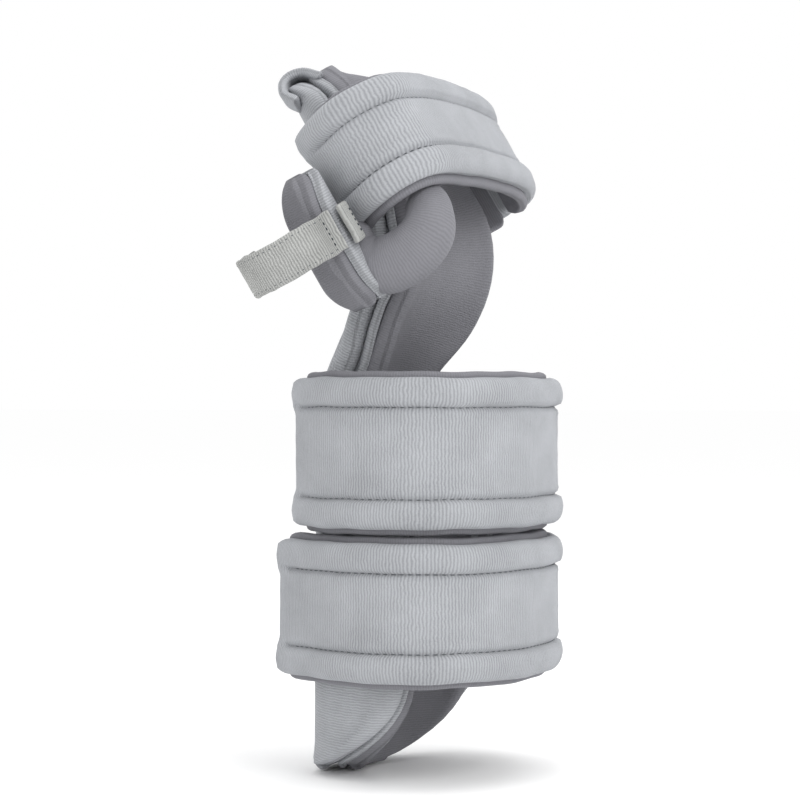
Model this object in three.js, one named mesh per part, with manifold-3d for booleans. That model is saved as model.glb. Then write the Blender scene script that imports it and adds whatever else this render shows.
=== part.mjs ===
// A resting wrist and hand splint for the right hand, standing as it is worn with the fingers up.
// A padded pad of four layers follows the palm side of the forearm, palm and fingers, three wide
// padded straps close over the back of the arm, and a narrow strap closes the thumb trough.
// Millimetres. +X is the little finger side, +Y the palm side and +Z points to the fingertips.
// The origin is on the forearm's axis at the wrist.
import * as THREE from "three";
import { mergeVertices } from "three/addons/utils/BufferGeometryUtils.js";
import Module from "manifold-3d";

const wasm = await Module();
wasm.setup();

// ---------------------------------------------------------------- driving dimensions
const FOREARM_END_Z = -127;
const FOREARM_HALF_WIDTH = 31;
const FOREARM_HALF_DEPTH = 27.6;
const FOREARM_RUN = 115;
const WRIST_BEND = { radius: 45, angle: THREE.MathUtils.degToRad(27) };
const PALM_RUN = 31;
const KNUCKLE_BEND = { radius: 32, angle: THREE.MathUtils.degToRad(58) };
const FINGER_RUN = 57;

// Layers of the pad, as depths below the skin surface.
const LINER = [0, 6.4];
const FACING = [6.7, 9.2];
const PLATE = [9.6, 11.0];
const BAR = [11.4, 12.4];
const COVER = [13.1, 16.4];
const HOOK = [16.8, 17.8];
const STRAP_SKIN_SIDE = 18.1;
const STRAP_LINING = [0, 2.9];
const STRAP_OUTER = [3.2, 8.2];

// Where the wrist's flexible neck starts and ends along the pad.
const NECK = { start: 132, end: 148, gap: 0.4 };

const STRAP_WIDTH = { wrist: 50, forearm: 46, finger: 39 };
const WRIST_STRAP_Z = -17.5;
const FOREARM_STRAP_Z = -70;
const FINGER_STRAP_S = 212;
const FOLD_GAP = 0.6;
const FINGER_STRAP_EASE = 0.8;
const FOREARM_TAIL_FLARE = 6;

const THUMB = {
  base: new THREE.Vector3(-53.8, 16.3, 17),
  tip: new THREE.Vector3(-69.8, 40.7, 67),
  radius: 12.5,
  start: 8,
  end: 56,
};
const THUMB_LAYERS = { liner: [0, 4.8], plate: [5.1, 6.1], cover: [6.5, 9.5] };
const THUMB_STRAP = { centre: 35, width: 14, thickness: 1.8 };

// ---------------------------------------------------------------- materials
const fabric = (color) => new THREE.MeshStandardMaterial({ color, roughness: 0.95, metalness: 0 });
const MATERIALS = {
  loop: fabric(0xb4b8b9),
  lining: fabric(0x85868a),
  webbing: fabric(0xaeb3b0),
  hook: new THREE.MeshStandardMaterial({ color: 0x3c3e40, roughness: 0.8, metalness: 0 }),
  aluminium: new THREE.MeshStandardMaterial({ color: 0xc4c7ca, roughness: 0.35, metalness: 1 }),
};

// ---------------------------------------------------------------- the pad's centre line and sections
const wristArc = WRIST_BEND.radius * WRIST_BEND.angle;
const knuckleArc = KNUCKLE_BEND.radius * KNUCKLE_BEND.angle;
const S_WRIST = FOREARM_RUN;
const S_PALM = S_WRIST + wristArc;
const S_KNUCKLE = S_PALM + PALM_RUN;
const S_FINGER = S_KNUCKLE + knuckleArc;
const S_END = S_FINGER + FINGER_RUN;

// The point at distance s along the pad's lowest skin line, and the lean towards the hand's back.
function spine(s) {
  let y = FOREARM_HALF_DEPTH;
  let z = FOREARM_END_Z;
  let lean = 0;
  const run = (length) => {
    y -= Math.sin(lean) * length;
    z += Math.cos(lean) * length;
  };
  const bend = (length, radius) => {
    const to = lean + length / radius;
    y += radius * (Math.cos(to) - Math.cos(lean));
    z += radius * (Math.sin(to) - Math.sin(lean));
    lean = to;
  };
  const part = (from, to) => Math.min(Math.max(s - from, 0), to - from);
  run(part(0, S_WRIST));
  bend(part(S_WRIST, S_PALM), WRIST_BEND.radius);
  run(part(S_PALM, S_KNUCKLE));
  bend(part(S_KNUCKLE, S_FINGER), -KNUCKLE_BEND.radius);
  run(Math.max(s - S_FINGER, 0));
  return { y, z, lean };
}

// Sections along the pad: s, half width, half depth, and how far round the rims reach, in degrees.
const SECTIONS = [
  { s: 0, width: 31, depth: 27.6, thumbRim: 92, outerRim: 82 },
  { s: 100, width: 31, depth: 27.6, thumbRim: 92, outerRim: 82 },
  { s: 138, width: 31.5, depth: 26, thumbRim: 46, outerRim: 48 },
  { s: 164, width: 34, depth: 19, thumbRim: 40, outerRim: 66 },
  { s: 186, width: 34, depth: 15.5, thumbRim: 42, outerRim: 72 },
  { s: 206, width: 33, depth: 14, thumbRim: 74, outerRim: 74 },
  { s: S_END, width: 33, depth: 14, thumbRim: 74, outerRim: 74 },
];
const END_ROUNDING = { forearm: 34, fingers: 20, least: 0.22 };

function section(s) {
  const i = Math.max(1, SECTIONS.findIndex((row) => row.s >= s));
  const [a, b] = [SECTIONS[i - 1], SECTIONS[i]];
  const t = THREE.MathUtils.smoothstep(s, a.s, b.s);
  return (key) => THREE.MathUtils.lerp(a[key], b[key], t);
}

// The share of the rims' reach that is left at s, so that both ends of the pad are round.
function rounding(s) {
  const share = (distance, length) => {
    const x = 1 - Math.min(distance / length, 1);
    return Math.max(Math.sqrt(1 - x * x), END_ROUNDING.least);
  };
  return share(s, END_ROUNDING.forearm) * share(S_END - s, END_ROUNDING.fingers);
}

// A point of the pad: s along it, theta round it from the palm side, and depth below the skin.
function padPoint(s, theta, depth) {
  const { y, z, lean } = spine(s);
  const at = section(s);
  const [a, b] = [at("width"), at("depth")];
  const normal = new THREE.Vector2(Math.sin(theta) / a, Math.cos(theta) / b).normalize();
  const across = a * Math.sin(theta) + depth * normal.x;
  const down = b * (Math.cos(theta) - 1) + depth * normal.y;
  return new THREE.Vector3(across, y + down * Math.cos(lean), z + down * Math.sin(lean));
}

// ---------------------------------------------------------------- geometry helpers
// A closed sheet of even thickness: pointAt(u, v, depth) with u and v from 0 to 1.
function sheet(pointAt, uSteps, vSteps, [near, far]) {
  const positions = [];
  const index = [];
  const row = vSteps + 1;
  const layer = (uSteps + 1) * row;
  for (const depth of [near, far]) {
    for (let i = 0; i <= uSteps; i++) {
      for (let j = 0; j <= vSteps; j++) positions.push(...pointAt(i / uSteps, j / vSteps, depth));
    }
  }
  const quad = (a, b, c, d) => index.push(a, b, c, a, c, d);
  for (let i = 0; i < uSteps; i++) {
    for (let j = 0; j < vSteps; j++) {
      const k = i * row + j;
      quad(k, k + 1, k + row + 1, k + row);
      quad(layer + k, layer + k + row, layer + k + row + 1, layer + k + 1);
    }
  }
  const side = (a, b) => quad(b, b + layer, a + layer, a);
  for (let i = 0; i < uSteps; i++) {
    side(i * row, (i + 1) * row);
    side((i + 1) * row + vSteps, i * row + vSteps);
  }
  for (let j = 0; j < vSteps; j++) {
    side(j + 1, j);
    side(uSteps * row + j, uSteps * row + j + 1);
  }
  return facingOut(positions, index);
}

function facingOut(positions, index) {
  const corner = (i) => new THREE.Vector3().fromArray(positions, index[i] * 3);
  let volume = 0;
  for (let i = 0; i < index.length; i += 3) {
    volume += corner(i).dot(corner(i + 1).cross(corner(i + 2)));
  }
  const geometry = new THREE.BufferGeometry();
  geometry.setAttribute("position", new THREE.Float32BufferAttribute(positions, 3));
  geometry.setIndex(volume < 0 ? index.slice().reverse() : index);
  return geometry;
}

const solidOf = (geometry) => {
  const bare = geometry.clone();
  for (const name of ["normal", "uv"]) bare.deleteAttribute(name);
  const merged = mergeVertices(bare, 1e-4);
  return new wasm.Manifold(
    new wasm.Mesh({
      numProp: 3,
      vertProperties: merged.attributes.position.array,
      triVerts: new Uint32Array(merged.index.array),
    }),
  );
};

function geometryOf(solid) {
  const mesh = solid.getMesh();
  const geometry = new THREE.BufferGeometry();
  geometry.setAttribute("position", new THREE.Float32BufferAttribute(mesh.vertProperties, 3));
  geometry.setIndex(new THREE.BufferAttribute(mesh.triVerts, 1));
  return geometry;
}

const root = new THREE.Group();
root.userData.hinges = {};

function addNode(name, geometry, material) {
  const mesh = new THREE.Mesh(geometry, MATERIALS[material]);
  mesh.name = name;
  root.add(mesh);
  return mesh;
}

// ---------------------------------------------------------------- the pad's layers
const LAYERS = [
  { name: "liner", depths: LINER, material: "lining" },
  { name: "facing", depths: FACING, material: "loop" },
  { name: "cover", depths: COVER, material: "loop" },
];
const RIVET = { radius: 2, clearance: 0.3, depths: [9.4, 12.6] };
const RIVET_SPOTS = [
  { name: "forearm_rivet_left", s: 118, theta: -0.16 },
  { name: "forearm_rivet_right", s: 118, theta: 0.16 },
  { name: "hand_rivet_left", s: 161, theta: -0.16 },
  { name: "hand_rivet_right", s: 161, theta: 0.16 },
];

// Where the rows of a layer lie: close together in the round ends and evenly spaced between them.
function stations(from, to, steps) {
  const { forearm, fingers } = END_ROUNDING;
  const round = (length) => [0, 1, 2, 3, 4, 5, 6].map((i) => length * (1 - Math.cos((i * Math.PI) / 12)));
  const rows = [];
  const start = from === 0 ? forearm : from;
  const end = to === S_END ? S_END - fingers : to;
  if (from === 0) rows.push(...round(forearm).slice(0, -1));
  for (let i = 0; i <= steps; i++) rows.push(THREE.MathUtils.lerp(start, end, i / steps));
  if (to === S_END) rows.push(...round(fingers).slice(0, -1).reverse().map((d) => S_END - d));
  return rows;
}

// A soft layer between two places along the pad, out to the rims.
function padLayer({ from, to, steps, around }, depths) {
  const rows = stations(from, to, steps);
  const point = (u, v, depth) => {
    const s = rows[Math.round(u * (rows.length - 1))];
    const at = section(s);
    const reach = rounding(s);
    const low = -THREE.MathUtils.degToRad(at("thumbRim")) * reach;
    const high = THREE.MathUtils.degToRad(at("outerRim")) * reach;
    return padPoint(s, THREE.MathUtils.lerp(low, high, v), depth);
  };
  return sheet(point, rows.length - 1, around, depths);
}

// A metal strip in the pad, straight-sided.
function padStrip(from, to, halfAngle, uSteps, vSteps, depths) {
  const point = (u, v, depth) =>
    padPoint(THREE.MathUtils.lerp(from, to, u), THREE.MathUtils.lerp(-halfAngle, halfAngle, v), depth);
  return sheet(point, uSteps, vSteps, depths);
}

function rivetAt({ s, theta }, radius, [near, far]) {
  const from = padPoint(s, theta, near);
  const to = padPoint(s, theta, far);
  const geometry = new THREE.CylinderGeometry(radius, radius, from.distanceTo(to), 12);
  const along = to.clone().sub(from).normalize();
  geometry.applyQuaternion(new THREE.Quaternion().setFromUnitVectors(new THREE.Vector3(0, 1, 0), along));
  geometry.translate(...from.add(to).multiplyScalar(0.5));
  return geometry;
}

function drilled(geometry) {
  let solid = solidOf(geometry);
  for (const spot of RIVET_SPOTS) {
    const hole = rivetAt(spot, RIVET.radius + RIVET.clearance, [PLATE[0] - 3, BAR[1] + 3]);
    solid = solid.subtract(solidOf(hole));
  }
  return geometryOf(solid);
}

const PARTS = [
  { name: "forearm", from: 0, to: NECK.start - NECK.gap, steps: 8, around: 14 },
  { name: "wrist", from: NECK.start, to: NECK.end, steps: 3, around: 8 },
  { name: "hand", from: NECK.end + NECK.gap, to: S_END, steps: 9, around: 12 },
];
for (const part of PARTS) {
  for (const { name, depths, material } of LAYERS) {
    addNode(`${part.name}_${name}`, padLayer(part, depths), material);
  }
}

// The two plates, and the bendable bar riveted to both across the wrist.
const PLATES = [
  { name: "forearm_plate", from: 22, to: NECK.start - 4, steps: 12, halfAngle: 0.62 },
  { name: "hand_plate", from: NECK.end + 4, to: S_END - 20, steps: 17, halfAngle: 0.6 },
];
for (const { name, from, to, steps, halfAngle } of PLATES) {
  addNode(name, drilled(padStrip(from, to, halfAngle, steps, 6, PLATE)), "aluminium");
}
addNode("wrist_bar", drilled(padStrip(108, 170, 0.3, 10, 4, BAR)), "aluminium");
for (const spot of RIVET_SPOTS) {
  addNode(spot.name, rivetAt(spot, RIVET.radius, RIVET.depths), "aluminium");
}

// ---------------------------------------------------------------- wide straps
// A strap's path lies in one section of the pad: x across the arm and y towards the palm, from the
// arm's axis. Each path is a base sewn to the outer wall, a main span, and a tail that closes.
function wrapPoint(half, depthHalf, theta, lift = 0) {
  const normal = new THREE.Vector2(Math.sin(theta) / half, Math.cos(theta) / depthHalf).normalize();
  return new THREE.Vector3(
    half * Math.sin(theta) + (STRAP_SKIN_SIDE + lift) * normal.x,
    depthHalf * Math.cos(theta) + (STRAP_SKIN_SIDE + lift) * normal.y,
    0,
  );
}

const curveThrough = (points) => new THREE.CatmullRomCurve3(points, false, "centripetal");
const flat = (rows) => rows.map(([x, y]) => new THREE.Vector3(x, y, 0));
const arcOf = (half, depthHalf, degrees, lifts = []) =>
  degrees.map((d, i) => wrapPoint(half, depthHalf, THREE.MathUtils.degToRad(d), lifts[i]));

const ARM_STRAP_MAIN = flat([
  [49.1, 1.5], [47.2, -6], [39.5, -15], [24, -24.5], [4, -29.2],
  [-15, -28.6], [-32, -23.6], [-43.5, -15.5], [-48.2, -7],
]);
const FINGER_STRAP_MAIN = flat([
  [50.2, 1.6], [47.6, -3.4], [38, -7.2], [20, -9.2], [0, -9.8],
  [-20, -9.6], [-37, -8.2], [-46, -5.8], [-49.8, -2.2],
]);

// A sheet along a path, swept over the strap's width. The ends lie square to the path.
function strapSheet(curve, width, steps, depths, trim = [0, 0]) {
  const length = curve.getLength();
  const point = (u, v, depth) => {
    const t = THREE.MathUtils.lerp(trim[0] / length, 1 - trim[1] / length, u);
    const at = curve.getPointAt(t);
    const along = curve.getTangentAt(t);
    return new THREE.Vector3(at.x - along.y * depth, at.y + along.x * depth, (v - 0.5) * width);
  };
  return sheet(point, steps, 2, depths);
}

// The fold line at the end of a curve, on the strap's outer face, where the strap turns.
function foldLine(curve, t, shift) {
  const at = curve.getPointAt(t);
  const along = curve.getTangentAt(t);
  const depth = STRAP_OUTER[1];
  return new THREE.Vector3(
    at.x - along.y * depth + along.x * shift,
    at.y + along.x * depth + along.y * shift,
    0,
  );
}

// frame places the strap's section: origin on the section's axis, lean turns it about X.
function wideStrap(name, { width, half, depthHalf, main, baseFrom, baseTo, tailTo, flare, origin, lean }) {
  const base = curveThrough(arcOf(half, depthHalf, [baseFrom, (baseFrom + baseTo) / 2, baseTo]));
  const span = curveThrough(main);
  const tailStart = main[main.length - 1].clone();
  tailStart.y += FOLD_GAP;
  const tailDegrees = [0, 1, 2, 3, 4].map((i) => THREE.MathUtils.lerp(-86, tailTo, i / 4));
  const lifts = [0, 0, 0, flare * 0.3, flare];
  const tail = curveThrough([tailStart, ...arcOf(half, depthHalf, tailDegrees, lifts)]);
  const place = (geometry) => geometry.rotateX(lean).translate(origin.x, origin.y, origin.z);
  const add = (part, curve, steps, depths, material, trim) =>
    addNode(`${name}_${part}`, place(strapSheet(curve, width, steps, depths, trim)), material);
  add("base_lining", base, 4, STRAP_LINING, "lining");
  add("base", base, 4, STRAP_OUTER, "loop");
  add("lining", span, 18, STRAP_LINING, "lining");
  add("outer", span, 18, STRAP_OUTER, "loop");
  add("tail_lining", tail, 8, STRAP_LINING, "lining");
  add("tail", tail, 8, STRAP_OUTER, "loop");
  const hookDepths = HOOK.map((depth) => depth - STRAP_SKIN_SIDE);
  const hook = strapSheet(tail, width - 12, 5, hookDepths, [tail.getLength() * 0.45, 4]);
  addNode(`${name}_hook`, place(hook), "hook");
  const turned = (point) => point.applyAxisAngle(new THREE.Vector3(1, 0, 0), lean).add(origin);
  root.userData.hinges[`${name}_open`] = turned(foldLine(span, 0, -FOLD_GAP / 2)).toArray();
  root.userData.hinges[`${name}_peel`] = turned(foldLine(span, 1, FOLD_GAP / 2)).toArray();
}

const armStrap = {
  half: FOREARM_HALF_WIDTH,
  depthHalf: FOREARM_HALF_DEPTH,
  main: ARM_STRAP_MAIN,
  baseFrom: 50,
  baseTo: 86,
  lean: 0,
};
wideStrap("wrist_strap", {
  ...armStrap,
  width: STRAP_WIDTH.wrist,
  tailTo: -38,
  flare: 0,
  origin: new THREE.Vector3(0, 0, WRIST_STRAP_Z),
});
wideStrap("forearm_strap", {
  ...armStrap,
  width: STRAP_WIDTH.forearm,
  tailTo: -32,
  flare: FOREARM_TAIL_FLARE,
  origin: new THREE.Vector3(0, 0, FOREARM_STRAP_Z),
});

const fingerSpine = spine(FINGER_STRAP_S);
const fingerSection = section(FINGER_STRAP_S);
const fingerDepth = fingerSection("depth");
const fingerOrigin = new THREE.Vector3(
  0,
  fingerSpine.y - Math.cos(fingerSpine.lean) * fingerDepth,
  fingerSpine.z - Math.sin(fingerSpine.lean) * fingerDepth,
);
wideStrap("finger_strap", {
  width: STRAP_WIDTH.finger,
  flare: 0,
  half: fingerSection("width") + FINGER_STRAP_EASE,
  depthHalf: fingerDepth + FINGER_STRAP_EASE,
  main: FINGER_STRAP_MAIN,
  baseFrom: 56,
  baseTo: 86,
  tailTo: -61,
  origin: fingerOrigin,
  lean: fingerSpine.lean,
});

// ---------------------------------------------------------------- thumb trough and its strap
const thumbAxis = THUMB.tip.clone().sub(THUMB.base).normalize();
const thumbBottom = new THREE.Vector3(0.95, -0.083, 0.25);
thumbBottom.addScaledVector(thumbAxis, -thumbBottom.dot(thumbAxis)).normalize();
const thumbSide = new THREE.Vector3().crossVectors(thumbAxis, thumbBottom);
const THUMB_RIMS = [THREE.MathUtils.degToRad(-88), THREE.MathUtils.degToRad(12)];
const THUMB_END_ROUNDING = { length: 16, least: 0.35 };

// A point in the thumb's frame: t along it, p towards the trough's bottom, q to its far side.
const thumbPoint = (t, p, q) =>
  THUMB.base
    .clone()
    .addScaledVector(thumbAxis, t)
    .addScaledVector(thumbBottom, p)
    .addScaledVector(thumbSide, q);

function thumbLayer(depths, inset) {
  const { length, least } = THUMB_END_ROUNDING;
  const middle = (THUMB_RIMS[0] + THUMB_RIMS[1]) / 2;
  const point = (u, v, depth) => {
    const t = THREE.MathUtils.lerp(THUMB.start + inset, THUMB.end - inset, u);
    const x = 1 - Math.min((THUMB.end - t) / length, 1);
    const reach = Math.max(Math.sqrt(1 - x * x), least);
    const trim = inset / THUMB.radius;
    const low = middle + (THUMB_RIMS[0] - middle) * reach + trim;
    const high = middle + (THUMB_RIMS[1] - middle) * reach - trim;
    const angle = THREE.MathUtils.lerp(low, high, v);
    const r = THUMB.radius + depth;
    return thumbPoint(t, r * Math.cos(angle), r * Math.sin(angle));
  };
  return sheet(point, 7, 8, depths);
}
addNode("thumb_liner", thumbLayer(THUMB_LAYERS.liner, 0), "lining");
addNode("thumb_stay", thumbLayer(THUMB_LAYERS.plate, 5), "aluminium");
addNode("thumb_cover", thumbLayer(THUMB_LAYERS.cover, 0), "loop");

const THUMB_STRAP_PATH = [
  [-1.2, -22.3], [-2.6, -17], [-9, -11.5], [-13.4, 0], [-9.5, 10.5], [-0.5, 14.4], [9, 15.5],
];
function thumbBand(points, steps, width, [near, far], trim) {
  const curve = curveThrough(flat(points));
  const length = curve.getLength();
  const point = (u, v, depth) => {
    const k = THREE.MathUtils.lerp(trim[0] / length, 1 - trim[1] / length, u);
    const at = curve.getPointAt(k);
    const along = curve.getTangentAt(k);
    const t = THUMB_STRAP.centre + (v - 0.5) * width;
    return thumbPoint(t, at.x - along.y * depth, at.y + along.x * depth);
  };
  return sheet(point, steps, 1, [near, far]);
}
const bandDepths = [0, THUMB_STRAP.thickness];
const anchorPath = [[8, -21.9], [4, -23.4], [0, -24]];
addNode("thumb_strap", thumbBand(THUMB_STRAP_PATH, 16, THUMB_STRAP.width, bandDepths, [0, 0]), "webbing");
addNode(
  "thumb_strap_anchor",
  thumbBand(anchorPath, 4, THUMB_STRAP.width, bandDepths, [0, 0]),
  "webbing",
);
root.userData.hinges.thumb_strap_open = thumbPoint(THUMB_STRAP.centre, -1.2, -24.1).toArray();
root.userData.hinges.thumb_axis = thumbAxis.toArray();

// ---------------------------------------------------------------- web pad between thumb and fingers
const WEB_PATH = [
  new THREE.Vector3(-50, 15.5, 53.5),
  new THREE.Vector3(-50, 12.5, 47.6),
  new THREE.Vector3(-50, 4.6, 44.2),
  new THREE.Vector3(-49, -5, 47.6),
  new THREE.Vector3(-47, -11, 54),
  new THREE.Vector3(-46, -12.5, 57.5),
];
const WEB_RADIUS = 8.6;
const webSection = new THREE.Shape();
webSection.absellipse(0, 0, WEB_RADIUS, WEB_RADIUS, 0, Math.PI * 2);
const webRoll = new THREE.ExtrudeGeometry(webSection, {
  steps: 12,
  curveSegments: 5,
  bevelEnabled: false,
  extrudePath: curveThrough(WEB_PATH),
});
const handRoom = padLayer(PARTS[2], [LINER[0] - 0.5, COVER[1] + 0.5]);
const thumbRoom = thumbLayer([-0.5, THUMB_LAYERS.cover[1] + 3.5], 0);
const roomDepths = [-0.5, THUMB_STRAP.thickness + 0.5];
const strapRoom = thumbBand(THUMB_STRAP_PATH, 16, THUMB_STRAP.width + 1, roomDepths, [0, 0]);
const thumbHinge = new THREE.Vector3().fromArray(root.userData.hinges.thumb_strap_open);
const sweptRooms = [5, 10, 15, 20, 28, 36, 45, 60, 80].map((degrees) =>
  strapRoom
    .clone()
    .translate(...thumbHinge.clone().negate())
    .applyMatrix4(new THREE.Matrix4().makeRotationAxis(thumbAxis, THREE.MathUtils.degToRad(degrees)))
    .translate(...thumbHinge),
);
const anchorRoom = thumbBand(anchorPath, 4, THUMB_STRAP.width + 1, roomDepths, [0, 0]);
const webPieces = [handRoom, thumbRoom, strapRoom, anchorRoom, ...sweptRooms]
  .reduce((solid, room) => solid.subtract(solidOf(room)), solidOf(webRoll))
  .decompose();
webPieces.sort((a, b) => b.volume() - a.volume());
addNode("web_pad", geometryOf(webPieces[0]), "lining");

export default root;
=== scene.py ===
"""The looks of a resting wrist and hand splint, built over its CAD frame. Metres, in the CAD's own frame."""

import math

import bmesh
import bpy
import numpy as np
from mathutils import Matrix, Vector, noise


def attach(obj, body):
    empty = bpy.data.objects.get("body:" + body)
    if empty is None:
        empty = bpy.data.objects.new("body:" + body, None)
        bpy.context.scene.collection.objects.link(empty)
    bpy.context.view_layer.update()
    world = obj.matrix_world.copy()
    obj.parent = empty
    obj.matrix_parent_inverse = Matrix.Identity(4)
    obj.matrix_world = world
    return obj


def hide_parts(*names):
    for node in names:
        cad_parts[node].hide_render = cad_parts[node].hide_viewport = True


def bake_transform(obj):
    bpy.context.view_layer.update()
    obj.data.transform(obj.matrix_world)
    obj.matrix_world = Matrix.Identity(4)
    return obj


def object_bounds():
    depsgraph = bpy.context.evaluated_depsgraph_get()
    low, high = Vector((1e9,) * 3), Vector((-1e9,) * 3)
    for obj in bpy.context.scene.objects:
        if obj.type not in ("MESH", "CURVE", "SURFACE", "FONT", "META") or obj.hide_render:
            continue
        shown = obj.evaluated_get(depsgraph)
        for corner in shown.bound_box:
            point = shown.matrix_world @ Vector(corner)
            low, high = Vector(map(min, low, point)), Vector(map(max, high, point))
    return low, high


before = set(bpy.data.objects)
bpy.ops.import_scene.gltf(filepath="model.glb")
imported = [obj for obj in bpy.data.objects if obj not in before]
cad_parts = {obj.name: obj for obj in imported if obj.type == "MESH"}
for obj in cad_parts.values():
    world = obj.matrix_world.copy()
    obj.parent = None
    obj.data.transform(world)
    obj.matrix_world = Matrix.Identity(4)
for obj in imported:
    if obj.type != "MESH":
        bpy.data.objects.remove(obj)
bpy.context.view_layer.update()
MM = 0.001
BANDS_PER_UNIT = 0.314  # the Wave texture's scale that gives one band in each unit of its coordinates
SIDE_SHIFT = 200  # in mm of texture: the far side is shifted up by this and the near side down by it
STITCH_RING = 5
# Each ring of a raised stitch: its place along the stitch, its share of the radius, and its lift in mm.
STITCH_RINGS = ((0, 0.35, -0.25), (0.2, 0.9, 0.05), (0.5, 1, 0.15), (0.8, 0.9, 0.05), (1, 0.35, -0.25))

# ------------------------------------------------------------------ materials


def linear(rgb):
    """An sRGB colour of 0 to 255 as linear RGBA."""
    out = []
    for c in rgb:
        c /= 255
        out.append(c / 12.92 if c <= 0.04045 else ((c + 0.055) / 1.055) ** 2.4)
    return (*out, 1)


class Nodes:
    """A material's node tree, with a short way to add and join nodes."""

    def __init__(self, name):
        self.mat = bpy.data.materials.new(name)
        self.mat.use_nodes = True
        self.tree = self.mat.node_tree
        self.shader = self.tree.nodes["Principled BSDF"]

    def add(self, kind, inputs=None, **settings):
        node = self.tree.nodes.new(kind)
        for key, value in settings.items():
            setattr(node, key, value)
        for key, value in (inputs or {}).items():
            if isinstance(value, bpy.types.NodeSocket):
                self.tree.links.new(value, node.inputs[key])
            else:
                node.inputs[key].default_value = value
        return node

    def link(self, output, socket):
        self.tree.links.new(output, self.shader.inputs[socket])

    def ramp(self, factor, stops):
        node = self.add("ShaderNodeValToRGB", {"Fac": factor})
        elements = node.color_ramp.elements
        while len(elements) < len(stops):
            elements.new(0.5)
        for element, (at, colour) in zip(elements, stops):
            element.position = at
            element.color = colour
        return node.outputs["Color"]


def shade(rgb, k):
    """A colour made lighter or darker by the factor k."""
    return linear([min(255, c * k) for c in rgb])


def knit(name, rgb, rib=1.0, rib_depth=0.35, fuzz=0.5, spread=0.07, sheen=0.35, roughness=0.92):
    """Brushed knit: ribs across the piece (rib is their pitch in mm), fibres, pile and slight mottling."""
    m = Nodes(name)
    uv = m.add("ShaderNodeUVMap", uv_map="UVMap").outputs["UV"]
    wobble = m.add("ShaderNodeTexNoise", {"Vector": uv, "Scale": 0.35, "Detail": 3.0})
    wavy = m.add(
        "ShaderNodeVectorMath",
        {0: wobble.outputs["Color"], 1: (0.9, 0.9, 0.0)},
        operation="MULTIPLY_ADD",
    )
    m.tree.links.new(uv, wavy.inputs[2])
    ribs = m.add(
        "ShaderNodeTexWave",
        {
            "Vector": wavy.outputs[0],
            "Scale": BANDS_PER_UNIT / rib,
            "Distortion": 0.6,
            "Detail": 2.0,
            "Detail Scale": 2.0,
        },
        wave_type="BANDS",
        bands_direction="X",
    )
    loops = m.add("ShaderNodeTexVoronoi", {"Vector": uv, "Scale": 1.25, "Randomness": 0.85})
    pile = m.add("ShaderNodeTexNoise", {"Vector": uv, "Scale": 2.4, "Detail": 6.0, "Roughness": 0.75})
    cloud = m.add("ShaderNodeTexNoise", {"Vector": uv, "Scale": 0.055, "Detail": 4.0, "Roughness": 0.6})
    mix = m.add("ShaderNodeMix", {0: 0.45, 2: pile.outputs["Fac"], 3: ribs.outputs["Fac"]}, data_type="FLOAT")
    mix2 = m.add("ShaderNodeMix", {0: 0.4, 2: mix.outputs[0], 3: cloud.outputs["Fac"]}, data_type="FLOAT")
    colour = m.ramp(
        mix2.outputs[0],
        [(0.25, shade(rgb, 1 - 2.1 * spread)), (0.5, shade(rgb, 1)), (0.75, shade(rgb, 1 + 1.6 * spread))],
    )
    m.link(colour, "Base Color")
    high = m.add("ShaderNodeMath", {0: ribs.outputs["Fac"], 1: rib_depth}, operation="MULTIPLY")
    high = m.add(
        "ShaderNodeMath", {0: pile.outputs["Fac"], 1: fuzz, 2: high.outputs[0]}, operation="MULTIPLY_ADD"
    )
    high = m.add(
        "ShaderNodeMath", {0: loops.outputs["Distance"], 1: 0.35, 2: high.outputs[0]}, operation="MULTIPLY_ADD"
    )
    bump = m.add("ShaderNodeBump", {"Strength": 0.8, "Distance": 0.0005, "Height": high.outputs[0]})
    m.link(bump.outputs["Normal"], "Normal")
    m.shader.inputs["Roughness"].default_value = roughness
    m.shader.inputs["Specular IOR Level"].default_value = 0.2
    m.shader.inputs["Sheen Weight"].default_value = sheen
    m.shader.inputs["Sheen Roughness"].default_value = 0.5
    m.shader.inputs["Sheen Tint"].default_value = shade(rgb, 1.2)
    return m.mat


def metal(name):
    """Satin aluminium with a fine drawn grain."""
    m = Nodes(name)
    at = m.add("ShaderNodeTexCoord").outputs["Object"]
    grain = m.add("ShaderNodeMapping", {"Vector": at, "Scale": (900.0, 900.0, 30.0)})
    lines = m.add("ShaderNodeTexNoise", {"Vector": grain.outputs[0], "Scale": 1.0, "Detail": 3.0})
    colour = m.ramp(lines.outputs["Fac"], [(0.3, (0.55, 0.56, 0.57, 1)), (0.7, (0.72, 0.73, 0.74, 1))])
    m.link(colour, "Base Color")
    scratches = m.add("ShaderNodeBump", {"Strength": 0.15, "Distance": 0.0002, "Height": lines.outputs["Fac"]})
    m.link(scratches.outputs[0], "Normal")
    m.shader.inputs["Metallic"].default_value = 1.0
    m.shader.inputs["Roughness"].default_value = 0.38
    return m.mat


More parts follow.
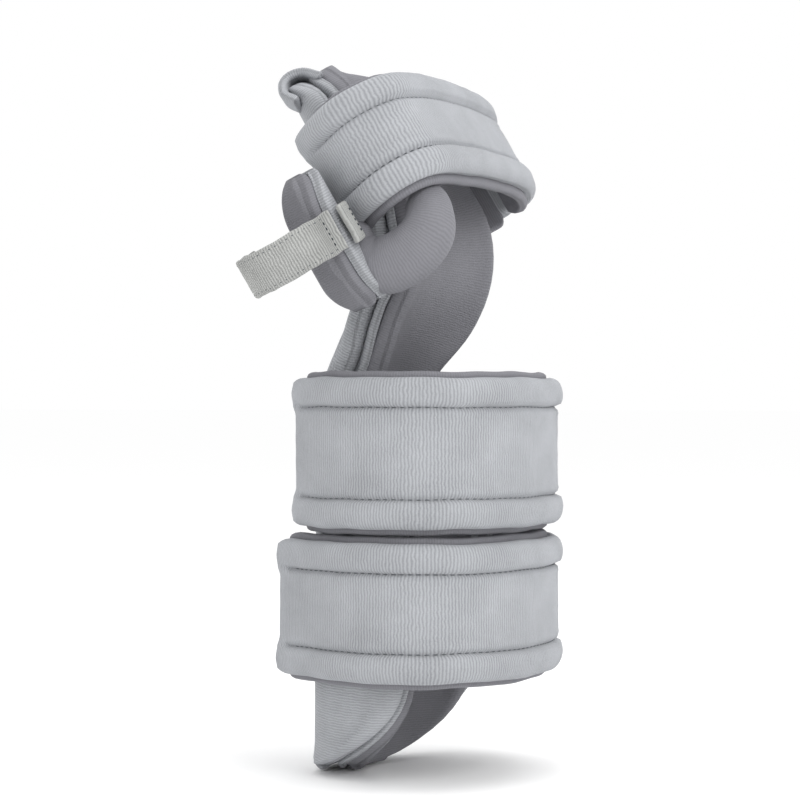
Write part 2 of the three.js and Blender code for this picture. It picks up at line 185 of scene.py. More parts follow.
LIGHT = (162, 164, 168)
DARK = (122, 122, 127)
LOOP = knit("loop_fabric", LIGHT, rib=0.9, rib_depth=0.28, fuzz=0.9, spread=0.08)
LINING = knit("lining_fabric", DARK, rib=0.8, rib_depth=0.12, fuzz=0.25, spread=0.04, sheen=0.2, roughness=0.8)
TAPE = knit("fuzzy_tape", (166, 167, 165), rib=0.9, rib_depth=0.08, fuzz=1.9, spread=0.13, sheen=0.5)
HOOK = knit("hook_tape", (70, 72, 75), rib=1.2, rib_depth=0.9, fuzz=0.3, spread=0.12, sheen=0.0, roughness=0.6)
THREAD = knit("thread", (112, 116, 119), rib=0.5, rib_depth=0.5, fuzz=0.2, sheen=0.2)
DARK_THREAD = knit("dark_thread", (62, 66, 72), rib=0.5, rib_depth=0.5, fuzz=0.2, sheen=0.1)
METAL = metal("satin_aluminium")

# ------------------------------------------------------------------ the pad's shape, as in the CAD (mm)
# Each run of the pad's lowest line, from the forearm's end: its length and bend radius, 0 for straight.
RUNS = [(115.0, 0.0), (45 * math.radians(27), 45.0), (31.0, 0.0), (32 * math.radians(58), -32.0), (57.0, 0.0)]
S_END = sum(length for length, _ in RUNS)
START_ROUND, END_ROUND = 34, 20
LEAST_REACH = 0.22
BLEND_FROM, BLEND_TO = 130, 150  # the stretch of s at the wrist
# s along that line, half width, half depth, and the thumb rim's and the outer rim's angle in degrees.
SECTIONS = [
    (0, 31, 27.6, 92, 82),
    (100, 31, 27.6, 92, 82),
    (138, 31.5, 26, 46, 48),
    (164, 34, 19, 40, 66),
    (186, 34, 15.5, 42, 72),
    (206, 33, 14, 74, 74),
    (S_END, 33, 14, 74, 74),
]


def spine(s):
    """(y, z, lean) at s mm along the pad's lowest skin line."""
    y, z, lean = 27.6, -127.0, 0.0
    for i, (length, radius) in enumerate(RUNS):
        step = s if i == len(RUNS) - 1 else min(s, length)
        if radius:
            to = lean + step / radius
            y += radius * (math.cos(to) - math.cos(lean))
            z += radius * (math.sin(to) - math.sin(lean))
            lean = to
        else:
            y -= math.sin(lean) * step
            z += math.cos(lean) * step
        s -= step
        if s <= 0:
            break
    return y, z, lean


def section(s):
    """(half width, half depth, thumb rim, outer rim) at s, the rims in radians."""
    i = next((i for i in range(1, len(SECTIONS)) if SECTIONS[i][0] >= s), len(SECTIONS) - 1)
    a, b = SECTIONS[i - 1], SECTIONS[i]
    t = min(max((s - a[0]) / (b[0] - a[0]), 0), 1)
    t = t * t * (3 - 2 * t)
    w, d, r, o = (a[k] + (b[k] - a[k]) * t for k in (1, 2, 3, 4))
    return w, d, math.radians(r), math.radians(o)


def rounding(s):
    """The share of the rims' reach that is left near the pad's round ends."""
    out = 1.0
    for distance, length in ((s, START_ROUND), (S_END - s, END_ROUND)):
        x = 1 - min(max(distance, 0) / length, 1)
        out *= max(math.sqrt(1 - x * x), LEAST_REACH)
    return out


def pad_point(s, theta, depth):
    """The point at s along the pad and theta round its section, depth mm out from the skin line."""
    y, z, lean = spine(s)
    a, b, _, _ = section(s)
    nx, ny = math.sin(theta) / a, math.cos(theta) / b
    k = math.hypot(nx, ny)
    across = a * math.sin(theta) + depth * nx / k
    down = b * (math.cos(theta) - 1) + depth * ny / k
    return np.array([across, y + down * math.cos(lean), z + down * math.sin(lean)])


# ------------------------------------------------------------------ mesh helpers
def ladder(length, step, fine=(0, 0.25, 0.8, 1.7, 3.0, 4.8)):
    """Distances from 0 to length mm, close together at both ends."""
    ends = [f for f in fine if f < length / 2.5]
    lo, hi = ends[-1] + step * 0.6, length - ends[-1] - step * 0.6
    middle = list(np.linspace(lo, hi, max(2, round((hi - lo) / step) + 1))) if hi > lo else [length / 2]
    return np.array(ends + middle + [length - f for f in reversed(ends)])


def ruffle(p, size, scale, seed=0.0):
    """A smooth random push, in mm, at the point p in mm."""
    return size * noise.noise(Vector((p[0] * scale + seed, p[1] * scale, p[2] * scale)))


def hump(x, centre, width):
    """A smooth hump, 1 high at the centre."""
    return math.exp(-(((x - centre) / width) ** 2))


def mesh_object(name, verts, faces, uvs, materials, face_material=None):
    """verts in mm, one uv in mm for each vertex."""
    mesh = bpy.data.meshes.new(name)
    mesh.from_pydata([tuple(float(c) * MM for c in v) for v in verts], [], faces)
    layer = mesh.uv_layers.new(name="UVMap")
    for loop in mesh.loops:
        layer.data[loop.index].uv = uvs[loop.vertex_index]
    for material in materials:
        mesh.materials.append(material)
    if face_material is not None:
        mesh.polygons.foreach_set("material_index", face_material)
    mesh.polygons.foreach_set("use_smooth", [True] * len(mesh.polygons))
    obj = bpy.data.objects.new(name, mesh)
    bpy.context.scene.collection.objects.link(obj)
    bm = bmesh.new()
    bm.from_mesh(mesh)
    bmesh.ops.recalc_face_normals(bm, faces=bm.faces)
    bm.to_mesh(mesh)
    bm.free()
    return obj


class Build:
    """Collects grids and stitches into one mesh with several materials."""

    def __init__(self):
        self.verts, self.faces, self.uvs, self.mats = [], [], [], []

    def pillow(self, point, us, vs, near, far, edge, dip=None, v_of=None):
        """A padded sheet: point(u, v, depth) in mm, us and vs the grid's places in mm. Its thickness fades to
        nothing within edge mm of the outline, in a round. dip(u, v, side) lowers a side, 1 the far one and
        -1 the near one, and v_of(u, v) is the texture's v where that isn't the grid's."""
        middle, half = (near + far) / 2, (far - near) / 2
        rows, cols = len(us), len(vs)
        index = {}
        for side in (1, -1):
            for i, u in enumerate(us):
                for j, v in enumerate(vs):
                    rim = i in (0, rows - 1) or j in (0, cols - 1)
                    if rim and side == -1:
                        index[side, i, j] = index[1, i, j]
                        continue
                    d = min(u - us[0], us[-1] - u, v - vs[0], vs[-1] - v)
                    x = 1 - min(max(d, 0) / edge, 1)
                    full = math.sqrt(max(1 - x * x, 0))
                    depth = middle + side * half * full
                    if dip is not None:
                        depth -= dip(u, v, side) * full
                    index[side, i, j] = len(self.verts)
                    self.verts.append(point(u, v, depth))
                    self.uvs.append((u, (v if v_of is None else v_of(u, v)) + SIDE_SHIFT * side))
        for side in (1, -1):
            for i in range(rows - 1):
                for j in range(cols - 1):
                    corners = ((i, j), (i, j + 1), (i + 1, j + 1), (i + 1, j))
                    q = tuple(index[side, row, col] for row, col in corners)
                    self.faces.append(q if side == 1 else q[::-1])
                    self.mats.append(0)

    def stitches(self, line, out, material, pitch=3.0, length=2.0, radius=0.28):
        """Short raised stitches along a line of points in mm. out(i) is the outward direction there."""
        line = [np.array(p) for p in line]
        dist = np.concatenate([[0], np.cumsum([np.linalg.norm(b - a) for a, b in zip(line, line[1:])])])

        def at(d):
            k = int(np.clip(np.searchsorted(dist, d) - 1, 0, len(line) - 2))
            f = (d - dist[k]) / max(dist[k + 1] - dist[k], 1e-9)
            return line[k] + (line[k + 1] - line[k]) * f, k

        d = pitch * 0.5
        while d + length < dist[-1]:
            a, k = at(d)
            b, _ = at(d + length)
            n = np.array(out(k), float)
            along = b - a
            side = np.cross(n, along)
            side /= max(np.linalg.norm(side), 1e-9)
            start = len(self.verts)
            ring, last = STITCH_RING, len(STITCH_RINGS) - 1
            for f, r, lift in STITCH_RINGS:
                c = a + along * f + n * lift
                for k2 in range(ring):
                    t = 2 * math.pi * k2 / ring
                    self.verts.append(c + (side * math.cos(t) + n * math.sin(t)) * radius * r)
                    self.uvs.append((d + f * length, k2 * 0.4))
            for i in range(last):
                for k2 in range(ring):
                    n2 = (k2 + 1) % ring
                    a0, b0 = start + i * ring, start + (i + 1) * ring
                    self.faces.append((a0 + k2, a0 + n2, b0 + n2, b0 + k2))
                    self.mats.append(material)
            for base, order in ((start, 1), (start + last * ring, -1)):
                self.faces.append(tuple(base + k2 for k2 in range(ring))[::-order])
                self.mats.append(material)
            d += pitch

    def done(self, name, materials, levels=0):
        obj = mesh_object(name, self.verts, self.faces, self.uvs, materials, self.mats)
        if levels:
            sub = obj.modifiers.new("Subdivision", "SUBSURF")
            sub.levels = sub.render_levels = levels
        return obj


def inflate(obj, pressure, cap, frames=16):
    """Fills a closed piece like a cushion: cloth under pressure, no gravity, and no point moves over cap mm."""
    scene = bpy.context.scene
    cloth = obj.modifiers.new("Cloth", "CLOTH")
    cloth.settings.quality = 6
    cloth.settings.mass = 0.2
    cloth.settings.tension_stiffness = cloth.settings.compression_stiffness = 12
    cloth.settings.bending_stiffness = 0.6
    cloth.settings.use_pressure = True
    cloth.settings.uniform_pressure_force = pressure
    cloth.settings.effector_weights.gravity = 0
    cloth.point_cache.frame_start, cloth.point_cache.frame_end = 1, frames
    for step in range(1, frames + 1):
        scene.frame_set(step)
    shown = obj.evaluated_get(bpy.context.evaluated_depsgraph_get())
    rest = np.array([v.co for v in obj.data.vertices])
    move = np.array([v.co for v in shown.data.vertices]) - rest
    obj.modifiers.remove(cloth)
    scene.frame_set(1)
    move -= move.mean(0)
    size = np.linalg.norm(move, axis=1)
    move *= np.minimum(1, cap * MM / np.maximum(size, 1e-9))[:, None]
    obj.data.vertices.foreach_set("co", (rest + move).ravel())
    obj.data.update()


def finish_piece(obj, slot, replaced=()):
    """Hides the CAD nodes that the piece stands for; slot is not used."""
    if replaced:
        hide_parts(*replaced)


# ------------------------------------------------------------------ the pad
def pad_sheet(name, near, far, edge, material, slot, nodes, seam_in=0.0, grow=0.0, seed=0.0,
              puff=0.0):
    """One soft layer of the pad, from the forearm's end to the fingertips, bending at the wrist. seam_in is
    how far inside the rim its stitched line runs, and grow how far it reaches past the CAD outline."""
    build = Build()
    us = ladder(S_END + 2 * grow, 3.4)
    full_way = 100.0  # the grid's v runs from 0 to this, whatever the section's real length
    vs = ladder(full_way, 3.6)

    def theta_of(s, v):
        w, d, r, o = section(s)
        reach = rounding(s)
        size = (w + d) / 2 + far
        spare = grow / size
        low, high = -r * reach - spare, o * reach + spare
        length = (high - low) * size
        x = (v / full_way) * 2 - 1
        return (low + high) / 2 + (high - low) / 2 * x, length

    def point(u, v, depth):
        s = min(max(u - grow, 0.0), S_END)
        over = u - grow - s
        theta, length = theta_of(s, v)
        p = pad_point(s, theta, depth)
        lean = spine(s)[2]
        p = p + np.array([0, -math.sin(lean), math.cos(lean)]) * over
        push = ruffle(p, 0.9, 0.035, seed) + ruffle(p, 0.35, 0.12, seed + 7)
        n = p - pad_point(s, theta, depth - 1) if over == 0 else np.zeros(3)
        n /= max(np.linalg.norm(n), 1e-9)
        return p + n * push * (0.6 if depth > near else 0.35)

    def dip(u, v, side):
        """A groove along the stitched line, a low crown inside the rim, and a filled gap behind the cover."""
        s = min(max(u - grow, 0.0), S_END)
        _, length = theta_of(s, v)
        k = length / full_way
        d = min(u, S_END + 2 * grow - u, v * k, (full_way - v) * k)
        groove = 1.4 * hump(d, seam_in, 1.0) if seam_in and side > 0 else 0.0
        crown = -puff * hump(d, 4.5, 3.2)
        close = 3.2 * hump(d, 7, 4.0) if seam_in and side < 0 else 0.0
        return groove + crown * side + close

    def texture_v(u, v):
        mean_radius = 36
        return theta_of(min(max(u - grow, 0), S_END), v)[0] * mean_radius

    build.pillow(point, us, vs, near, far, edge, dip=dip, v_of=texture_v)
    obj = build.done(name, [material])
    finish_piece(obj, slot, nodes)
    y0, z0, _ = spine(BLEND_FROM)
    y1, z1, _ = spine(BLEND_TO)
    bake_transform(obj)
    return obj


pad_sheet("pad_liner", -0.3, 6.5, 3.4, LINING, "lining", ("forearm_liner", "wrist_liner", "hand_liner"),
          grow=0.8, puff=0.5)
pad_sheet("pad_facing", 6.5, 9.5, 1.5, LOOP, "loop_fabric", ("forearm_facing", "wrist_facing", "hand_facing"),
          grow=0.4, seed=20)
pad_sheet("pad_cover", 12.6, 17.2, 2.4, LOOP, "loop_fabric", ("forearm_cover", "wrist_cover", "hand_cover"),
          seam_in=8.5, grow=0.9, seed=40, puff=0.5)


# ------------------------------------------------------------------ wide straps
STRAP_SKIN = 18.1  # from the skin line to a strap's near face
PATH_STEPS = 400
# A strap's layers: the depths of its two faces, the width of its round edge, and its material.
STRAP_LAYERS = (("outer", 2.4, 8.5, 3.0, LOOP), ("inner", -0.1, 3.6, 1.3, LINING))
LINING_MARGIN = 2.0  # how far the lining shows past the outer layer, on each side


def catmull(points, n):
    """An even, centripetal Catmull-Rom curve through the points: n positions by arc length, and the length."""
    p = [np.array(q, float) for q in points]
    p = [2 * p[0] - p[1]] + p + [2 * p[-1] - p[-2]]
    dense = []
    for i in range(1, len(p) - 2):
        p0, p1, p2, p3 = p[i - 1 : i + 3]
        d0, d1, d2 = (max(np.linalg.norm(b - a), 1e-6) ** 0.5 for a, b in ((p0, p1), (p1, p2), (p2, p3)))
        t1 = ((p1 - p0) / d0 - (p2 - p0) / (d0 + d1) + (p2 - p1) / d1) * d1
        t2 = ((p2 - p1) / d1 - (p3 - p1) / (d1 + d2) + (p3 - p2) / d2) * d1
        for t in np.linspace(0, 1, 40, endpoint=i == len(p) - 3):
            square, cube = -3 * p1 + 3 * p2 - 2 * t1 - t2, 2 * p1 - 2 * p2 + t1 + t2
            dense.append(p1 + t1 * t + square * t * t + cube * t**3)
    dense = np.array(dense)
    run = np.concatenate([[0], np.cumsum(np.linalg.norm(np.diff(dense, axis=0), axis=1))])
    at = np.linspace(0, run[-1], n)
    return np.stack([np.interp(at, run, dense[:, k]) for k in range(dense.shape[1])], 1), run[-1]


class Path:
    """A curve in the strap's section, x across and y to the palm, read by arc length in mm."""

    def __init__(self, points):
        self.p, self.length = catmull(points, PATH_STEPS)
        step = self.length / (PATH_STEPS - 1)
        self.t = np.gradient(self.p, step, axis=0)
        self.t /= np.linalg.norm(self.t, axis=1)[:, None]

    def at(self, d):
        """The point and the direction d mm along, going straight on past either end."""
        k = min(max(d / self.length, 0), 1) * (PATH_STEPS - 1)
        i = min(int(k), PATH_STEPS - 2)
        f = k - i
        p = self.p[i] * (1 - f) + self.p[i + 1] * f
        t = self.t[i] * (1 - f) + self.t[i + 1] * f
        return p + t * (d - min(max(d, 0), self.length)), t


def wrap(half, depth_half, degrees, lifts=(0, 0, 0, 0, 0)):
    """Points round the cover, lifted off it. 0 degrees is the pad's lowest line, 90 the little finger side."""
    out = []
    for d, lift in zip(degrees, lifts):
        t = math.radians(d)
        skin = STRAP_SKIN + lift
        n = np.array([math.sin(t) / half, math.cos(t) / depth_half])
        n /= np.linalg.norm(n)
        out.append((half * math.sin(t) + skin * n[0], depth_half * math.cos(t) + skin * n[1]))
    return out


# The main spans' sections, from the base's fold to the tail's: x across and y to the palm.
ARM_MAIN = [
    (49.1, 1.5), (47.2, -6), (39.5, -15), (24, -24.5), (4, -29.2),
    (-15, -28.6), (-32, -23.6), (-43.5, -15.5), (-48.2, -7),
]
FINGER_MAIN = [
    (50.2, 1.6), (47.6, -3.4), (38, -7.2), (20, -9.2), (0, -9.8),
    (-20, -9.6), (-37, -8.2), (-46, -5.8), (-49.8, -2.2),
]


def strap_piece(name, path, place, width, part, seam=10.0, corner=6.0, free_end=False, seed=0.0,
                stitch_from=0.0):
    """One strap length: the light outer, with two sewn channels, and its dark lining, in one mesh each."""
    length = path.length
    made = []
    for layer, near, far, edge, mat in STRAP_LAYERS:
        build = Build()
        full = width + 2 * (LINING_MARGIN if layer == "inner" else 0.0)
        us = ladder(length, 2.4)
        vs = ladder(full, 1.1)

        def point(u, v, depth, full=full):
            w = v - full / 2
            # All four corners are cut round.
            back = max(abs(w) - (full / 2 - corner), 0)
            inset = corner - math.sqrt(max(corner * corner - back * back, 0))
            k = max(u, inset) if u < length / 2 else min(u, length - inset)
            p, t = path.at(k)
            q = np.array([p[0] - t[1] * depth, p[1] + t[0] * depth])
            out = np.array([-t[1], t[0]])
            world = place(q[0], q[1], w)
            push = ruffle(world, 0.55, 0.05, seed) + ruffle(world, 0.22, 0.2, seed + 3)
            edge_wave = ruffle((k, 0, seed), 0.6, 0.07, 11) * (w / (full / 2))
            q = q + out * push * 0.7
            return place(q[0], q[1], w + edge_wave)

        def dip(u, v, side, full=full, layer=layer):
            if layer == "inner" or side < 0:
                return 0.0
            w = abs(v - full / 2)
            line = full / 2 - seam
            groove = 2.7 * hump(w, line, 0.8)
            edge_roll = -0.8 * hump(w, line + 4.6, 3.0)
            flat = max(0.0, min(1.0, (line - w) / 2.5))
            left = length - u
            if free_end and left < 9:
                groove *= max(0.0, left - 5) / 4
            return groove + edge_roll + flat

        build.pillow(point, us, vs, near, far, edge, dip=dip)
        if layer == "outer":
            for sign in (1, -1):
                w0 = sign * (width / 2 - seam)
                stop = length - 9 if free_end else length - 3
                ds = np.arange(3 + stitch_from, stop, 1.5)
                line, outs = [], []
                for d in ds:
                    line.append(point(d, w0 + width / 2, 6.15))
                    p, t = path.at(d)
                    a, b = place(0, 0, 0), place(-t[1], t[0], 0)
                    outs.append(b - a)
                build.stitches(line, lambda k, o=outs: o[min(k, len(o) - 1)], 1,
                               pitch=2.8, length=1.9, radius=0.24)
            made.append(build.done(f"{name}_{part}_outer", [mat, THREAD]))
        else:
            made.append(build.done(f"{name}_{part}_inner", [mat]))
    return made


def placer(origin, lean):
    """Turns a section's x, y and the place across the strap into the row frame, in mm."""
    c, s = math.cos(lean), math.sin(lean)

    def place(x, y, w):
        return np.array([x + origin[0], y * c - w * s + origin[1], y * s + w * c + origin[2]])

    return place


def wide_strap(name, parent, origin, lean, width, main, half, depth_half, base, tail_to, fold, seed,
               flare=0.0):
    """A wide strap: span and tail in one length, sewn base, the fold between them, and the hook patch."""
    place = placer(origin, lean)
    tail_body = f"{name}_tail"
    tail_points = wrap(half, depth_half, np.linspace(-86, tail_to, 5), (0, 0, 0, 0.3 * flare, flare))
    path = Path(main + tail_points)
    outer, lining = strap_piece(name, path, place, width, "span", free_end=True, seed=seed, stitch_from=2)
    a, b = fold
    start, end = place(a[0], a[1], 0) * MM, place(b[0], b[1], 0) * MM
    for obj, slot, nodes in (
        (outer, "loop_fabric", (f"{name}_outer", f"{name}_tail")),
        (lining, "lining", (f"{name}_lining", f"{name}_tail_lining")),
    ):
        finish_piece(obj, slot, nodes)
        tuple(start)
        tuple(end)
        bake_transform(obj)
    base_path = Path(wrap(half, depth_half, np.linspace(base[0], base[1], 5)))
    outer, lining = strap_piece(name, base_path, place, width, "base", seed=seed + 50, corner=4.0)
    for obj, slot, nodes in (
        (outer, "loop_fabric", (f"{name}_base",)),
        (lining, "lining", (f"{name}_base_lining",)),
    ):
        finish_piece(obj, slot, nodes)
        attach(obj, parent)
    # The fold where the strap turns out of its base: a strip that curves from the one to the other.
    edge = wrap(half, depth_half, (base[1] - 7, base[1]))
    into_span = ((main[0][0] + main[1][0]) / 2 + 0.4, (main[0][1] + main[1][1]) / 2 - 1)
    fold_path = Path(edge + [main[0], into_span])
    fold_width = width - 2.4
    build = Build()

    def fold_point(u, v, depth):
        p, t = fold_path.at(u)
        return place(p[0] - t[1] * depth, p[1] + t[0] * depth, v - fold_width / 2)

    build.pillow(fold_point, ladder(fold_path.length, 0.9), ladder(fold_width, 1.6), 0.3, 8.1, 3.0)
    turn = build.done(f"{name}_fold", [LOOP])
    a, b = np.array(edge[1]), np.array(main[0])
    middle, along = (a + b) / 2, (b - a) / np.linalg.norm(b - a)
    start, end = middle - along * 2.2, middle + along * 2.2
    tuple(place(*start, 0) * MM)
    tuple(place(*end, 0) * MM)
    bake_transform(turn)
    # The hook patch under the tail.
    tail_path = Path([np.array(main[-1]) + (0, 0.6)] + tail_points)
    build = Build()
    hook_width = width - 12
    vs = ladder(hook_width, 2.5, fine=(0, 0.3, 0.8))
    us = ladder(tail_path.length * 0.55 - 4, 2.5, fine=(0, 0.3, 0.8))

    def hook_point(u, v, depth):
        p, t = tail_path.at(tail_path.length * 0.45 + u)
        return place(p[0] - t[1] * depth, p[1] + t[0] * depth, v - hook_width / 2)

    build.pillow(hook_point, us, vs, -1.3, -0.1, 0.6)
    hook = build.done(f"{name}_hook_patch", [HOOK])
    finish_piece(hook, "hook_tape", (f"{name}_hook",))
    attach(hook, tail_body)


ARM = dict(main=ARM_MAIN, half=31, depth_half=27.6, base=(50, 86), fold=((-45, -14), (-51, -5)))
wide_strap("wrist_strap", "forearm", (0, 0, -17.5), 0.0, 50, tail_to=-38, seed=1.0, **ARM)
wide_strap("forearm_strap", "forearm", (0, 0, -70), 0.0, 46, tail_to=-32, seed=5.0, flare=6.0, **ARM)
FINGER_STRAP_S = 212
y, z, lean = spine(FINGER_STRAP_S)
w, d, _, _ = section(FINGER_STRAP_S)
wide_strap("finger_strap", "hand", (0, y - math.cos(lean) * d, z - math.sin(lean) * d), lean, 39,
           main=FINGER_MAIN, half=w + 0.8, depth_half=d + 0.8, base=(56, 86), tail_to=-61,
           fold=((-46, -7), (-53, 1)), seed=9.0)

# ------------------------------------------------------------------ thumb trough, thumb strap and web pad
THUMB_BASE = np.array([-53.8, 16.3, 17.0])
AXIS = np.array([-69.8, 40.7, 67.0]) - THUMB_BASE
AXIS /= np.linalg.norm(AXIS)
BOTTOM = np.array([0.95, -0.083, 0.25])
BOTTOM -= AXIS * BOTTOM.dot(AXIS)
BOTTOM /= np.linalg.norm(BOTTOM)
SIDE = np.cross(AXIS, BOTTOM)
THUMB_RADIUS = 12.5
THUMB_START, THUMB_END = 8, 56
THUMB_RIMS = (-88, 12)
THUMB_SPAN = 60  # the grid's v runs from 0 to this across the trough


def thumb_point(t, p, q):
    """The point t along the thumb's axis, p towards the trough's bottom and q to its side, all in mm."""
    return THUMB_BASE + AXIS * t + BOTTOM * p + SIDE * q


def thumb_sheet(name, near, far, edge, material, slot, nodes, grow=0.0, seed=0.0):
    """One layer of the thumb trough, round at both ends."""
    build = Build()
    length = THUMB_END - THUMB_START + 2 * grow
    us, vs = ladder(length, 2.2), ladder(THUMB_SPAN, 2.2)
    low, high = (math.radians(rim) for rim in THUMB_RIMS)
    middle = (low + high) / 2

    def point(u, v, depth):
        t = THUMB_START + u - grow
        x = 1 - min(max(THUMB_END + grow - t, 0) / 16, 1)
        reach = max(math.sqrt(1 - x * x), 0.35)
        x = 1 - min(max(t - THUMB_START + grow, 0) / 12, 1)
        reach *= max(math.sqrt(1 - x * x), 0.5)
        spare = grow / 20
        a = middle + (low - spare - middle) * reach
        b = middle + (high + spare - middle) * reach
        angle = a + (b - a) * v / THUMB_SPAN
        r = THUMB_RADIUS + depth
        p = thumb_point(t, r * math.cos(angle), r * math.sin(angle))
        return p + BOTTOM * ruffle(p, 0.6, 0.07, seed)

    build.pillow(point, us, vs, near, far, edge)
    obj = build.done(name, [material], levels=1)
    finish_piece(obj, slot, nodes)
    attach(obj, "hand")
    return obj


thumb_sheet("thumb_pad", -0.2, 6.1, 3.2, LINING, "lining", ("thumb_liner",), grow=0.8)
thumb_sheet("thumb_shell", 6.0, 9.7, 1.9, LOOP, "loop_fabric", ("thumb_cover", "thumb_stay"),
            grow=0.3, seed=4)

BAND = [(-1.2, -22.3), (-2.6, -17), (-9, -11.5), (-13.4, 0), (-9.5, 10.5), (-0.5, 14.4), (9, 15.5)]


def band_piece(name, points, width, nodes, body, centre=35.0, wave=0.5):
    """A length of the narrow tape. points are its section round the thumb, centre its place along it."""
    hem = 1.4
    path = Path(points)
    build = Build()
    us, vs = ladder(path.length, 1.2, fine=(0, 0.2, 0.6)), ladder(width, 1.2, fine=(0, 0.2, 0.6))

    def point(u, v, depth):
        p, t = path.at(u)
        w = v - width / 2 + ruffle((u, 5, 0), wave, 0.25)
        q = thumb_point(centre + w, p[0] - t[1] * depth, p[1] + t[0] * depth)
        return q + BOTTOM * ruffle(q, 0.3, 0.3)

    build.pillow(point, us, vs, -0.1, 2.3, 1.0)
    places = np.arange(1.5, path.length - 1.5, 1.0)
    for at in (hem, width - hem):
        line = [point(d, at, 2.1) for d in places]
        outs = []
        for d in places:
            _, t = path.at(d)
            outs.append(-BOTTOM * t[1] + SIDE * t[0])
        build.stitches(line, lambda k, o=outs: o[min(k, len(o) - 1)], 1, pitch=2.2, length=1.4, radius=0.2)
    for d0 in (3.0, path.length - 4.5):
        _, t = path.at(d0)
        out = -BOTTOM * t[1] + SIDE * t[0]
        line = [point(d0, v, 2.1) for v in np.arange(1.5, width - hem, 1.0)]
        build.stitches(line, lambda k, o=out: o, 2, pitch=1.9, length=1.4, radius=0.3)
    obj = build.done(name, [TAPE, THREAD, DARK_THREAD])
    finish_piece(obj, "webbing", nodes)
    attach(obj, body)
    return obj


band_piece("thumb_tape", BAND, 14, ("thumb_strap",), "thumb_strap")
band_piece("thumb_tape_anchor", [(8, -21.9), (4, -23.4), (0, -24)], 14, ("thumb_strap_anchor",), "hand",
           wave=0.0)


def roll(name, points, radii, material, slot, nodes, body):
    """A puffy closed roll along a path of 3-D points, in mm, with the ends drawn in."""
    steps, ring = 60, 28
    p, length = catmull(points, steps)
    verts, faces, uvs = [], [], []
    tangent = np.gradient(p, axis=0)
    tangent /= np.linalg.norm(tangent, axis=1)[:, None]
    n = np.cross(tangent[0], (1, 0, 0))
    n /= np.linalg.norm(n)
    for i in range(steps):
        n = n - tangent[i] * n.dot(tangent[i])
        n /= np.linalg.norm(n)
        b = np.cross(tangent[i], n)
        f = i / (steps - 1)
        r = np.interp(f, np.linspace(0, 1, len(radii)), radii)
        end = min(f, 1 - f) * length
        r *= math.sqrt(max(1 - (1 - min(end / 7, 1)) ** 2, 0.0)) * 0.98 + 0.02
        for k in range(ring):
            t = 2 * math.pi * k / ring
            v = p[i] + (n * math.cos(t) + b * math.sin(t)) * r
            v = v + (n * math.cos(t) + b * math.sin(t)) * (ruffle(v, 0.8, 0.06) + ruffle(v, 0.3, 0.2, 5))
            verts.append(v)
            uvs.append((f * length, k * 2 * math.pi * 8 / ring))
    for i in range(steps - 1):
        for k in range(ring):
            m = (k + 1) % ring
            faces.append((i * ring + k, i * ring + m, (i + 1) * ring + m, (i + 1) * ring + k))
    faces.append(tuple(range(ring))[::-1])
    faces.append(tuple((steps - 1) * ring + k for k in range(ring)))
    obj = mesh_object(name, verts, faces, uvs, [material])
    inflate(obj, 3.0, 1.6)
    sub = obj.modifiers.new("Subdivision", "SUBSURF")
    sub.levels = sub.render_levels = 1
    finish_piece(obj, slot, nodes)
    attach(obj, body)
    return obj


WEB_ROUTE = [
    (-51, 18, 60), (-50.5, 16, 54), (-50, 12.5, 47.6), (-50, 4.6, 44.2),
    (-49, -5, 47.6), (-46.5, -11, 55), (-42.5, -10, 63), (-38.5, -6, 70),
]
WEB_RADII = [7.8, 8.8, 9.4, 9.8, 9.8, 9.2, 7.6, 5.5]
roll("web_roll", WEB_ROUTE, WEB_RADII, LINING, "lining", ("web_pad",), "hand")

# ------------------------------------------------------------------ turned-over tabs at the pad's two ends
def tab(name, points, across, width, thickness, material, body, seed=0.0):
    """A soft tab: a strip of even thickness along a path of 3-D points, as wide as width along across."""
    steps = 80
    p, length = catmull(points, steps)
    tangent = np.gradient(p, axis=0)
    tangent /= np.linalg.norm(tangent, axis=1)[:, None]
    across = np.array(across, float)
    across /= np.linalg.norm(across)
    build = Build()

    def point(u, v, depth):
        k = min(max(u / length, 0), 1) * (steps - 1)
        i = min(int(k), steps - 2)
        f = k - i
        q = p[i] * (1 - f) + p[i + 1] * f
        n = np.cross(across, tangent[i] * (1 - f) + tangent[i + 1] * f)
        n /= np.linalg.norm(n)
        q = q + n * (depth + ruffle(q, 0.4, 0.15, seed))
        return q + across * (v - width / 2)

    build.pillow(point, ladder(length, 1.6), ladder(width, 1.6), -thickness / 2, thickness / 2, 1.2)
    obj = build.done(name, [material])
    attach(obj, body)
    return obj


def near_pad(s, degrees, depth):
    """pad_point with its angle in degrees."""
    return pad_point(s, math.radians(degrees), depth)


TAB_ROUTE = [(24, -62, 9), (15, -54, 6), (9, -44, 1), (12, -50, -3.5), (21, -60, -3)]
tab("forearm_end_tab", [near_pad(*at) for at in TAB_ROUTE], near_pad(12, -30, 8) - near_pad(12, -60, 8),
    11, 2.4, TAPE, "forearm", 3)
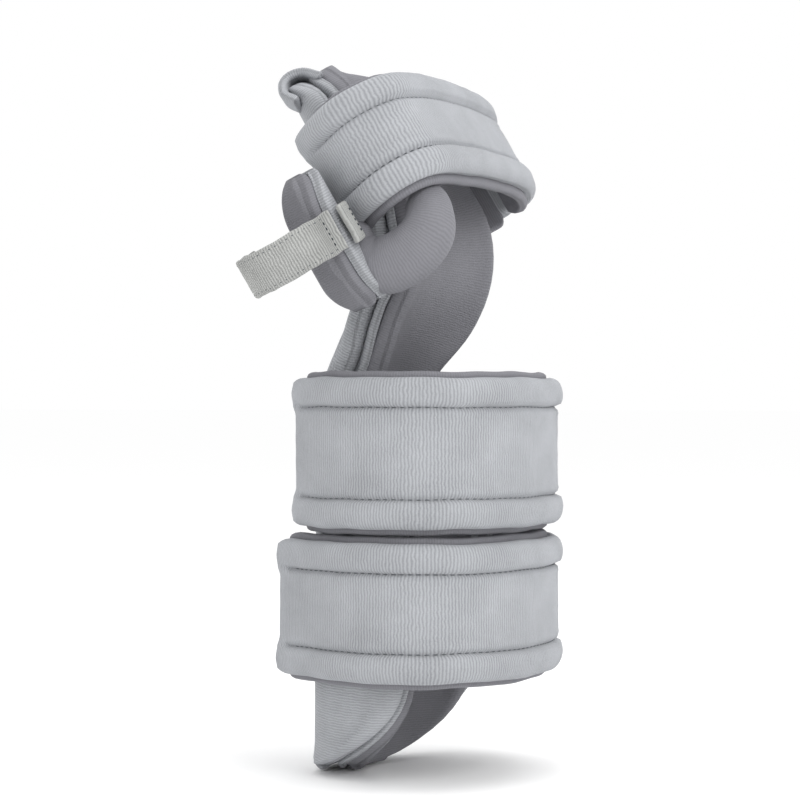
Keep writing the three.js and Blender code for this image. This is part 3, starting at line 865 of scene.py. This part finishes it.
# Each point's distance back from the fingertips' end, its angle and its depth.
LOOP_ROUTE = [(15, -62, 18.5), (8, -52, 19.5), (1.5, -40, 15), (2.0, -40, 9.5), (9, -53, 5.5)]
tab("finger_end_loop", [near_pad(S_END - back, degrees, depth) for back, degrees, depth in LOOP_ROUTE],
    near_pad(S_END - 8, -20, 12) - near_pad(S_END - 8, -50, 12), 15, 3.0, LOOP, "hand", 8)

# ------------------------------------------------------------------ metal parts keep their CAD shape
for node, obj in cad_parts.items():
    if any(word in node for word in ("plate", "rivet", "_bar")):
        obj.data.materials.clear()
        obj.data.materials.append(METAL)

# ------------------------------------------------------------------ floor, light and camera
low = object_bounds()[0][2]
bpy.ops.mesh.primitive_plane_add(size=60, location=(0, 0, low - 0.0005))
floor = bpy.context.object
floor.name = "floor"
paper = Nodes("floor_paper")
paper.shader.inputs["Base Color"].default_value = (0.99, 0.99, 0.99, 1)
paper.shader.inputs["Roughness"].default_value = 1.0
paper.shader.inputs["Specular IOR Level"].default_value = 0.0
floor.data.materials.append(paper.mat)

world = bpy.data.worlds.new("studio")
world.use_nodes = True
world.node_tree.nodes["Background"].inputs["Color"].default_value = (1, 1, 1, 1)
world.node_tree.nodes["Background"].inputs["Strength"].default_value = 1.0
bpy.context.scene.world = world


def lamp(name, at, size, power):
    """A square area light at a place in metres, aimed at the origin."""
    data = bpy.data.lights.new(name, "AREA")
    data.size = size
    data.energy = power
    obj = bpy.data.objects.new(name, data)
    obj.location = at
    obj.rotation_euler = (-Vector(at)).to_track_quat("-Z", "Y").to_euler()
    bpy.context.scene.collection.objects.link(obj)


lamp("key", (-0.9, -1.1, 0.9), 0.8, 9)
lamp("top", (0.1, -0.2, 1.2), 0.9, 5)

target = Vector((-0.0061, 0.015, 0.0))
away = Vector((-0.927, -0.375, 0.0))
distance = 0.9
camera = bpy.data.objects.new("camera", bpy.data.cameras.new("camera"))
camera.data.lens = 117
camera.location = target + away * distance
camera.rotation_euler = (-away).to_track_quat("-Z", "Y").to_euler()
bpy.context.scene.collection.objects.link(camera)
bpy.context.scene.camera = camera
bpy.context.scene.view_settings.view_transform = "Standard"
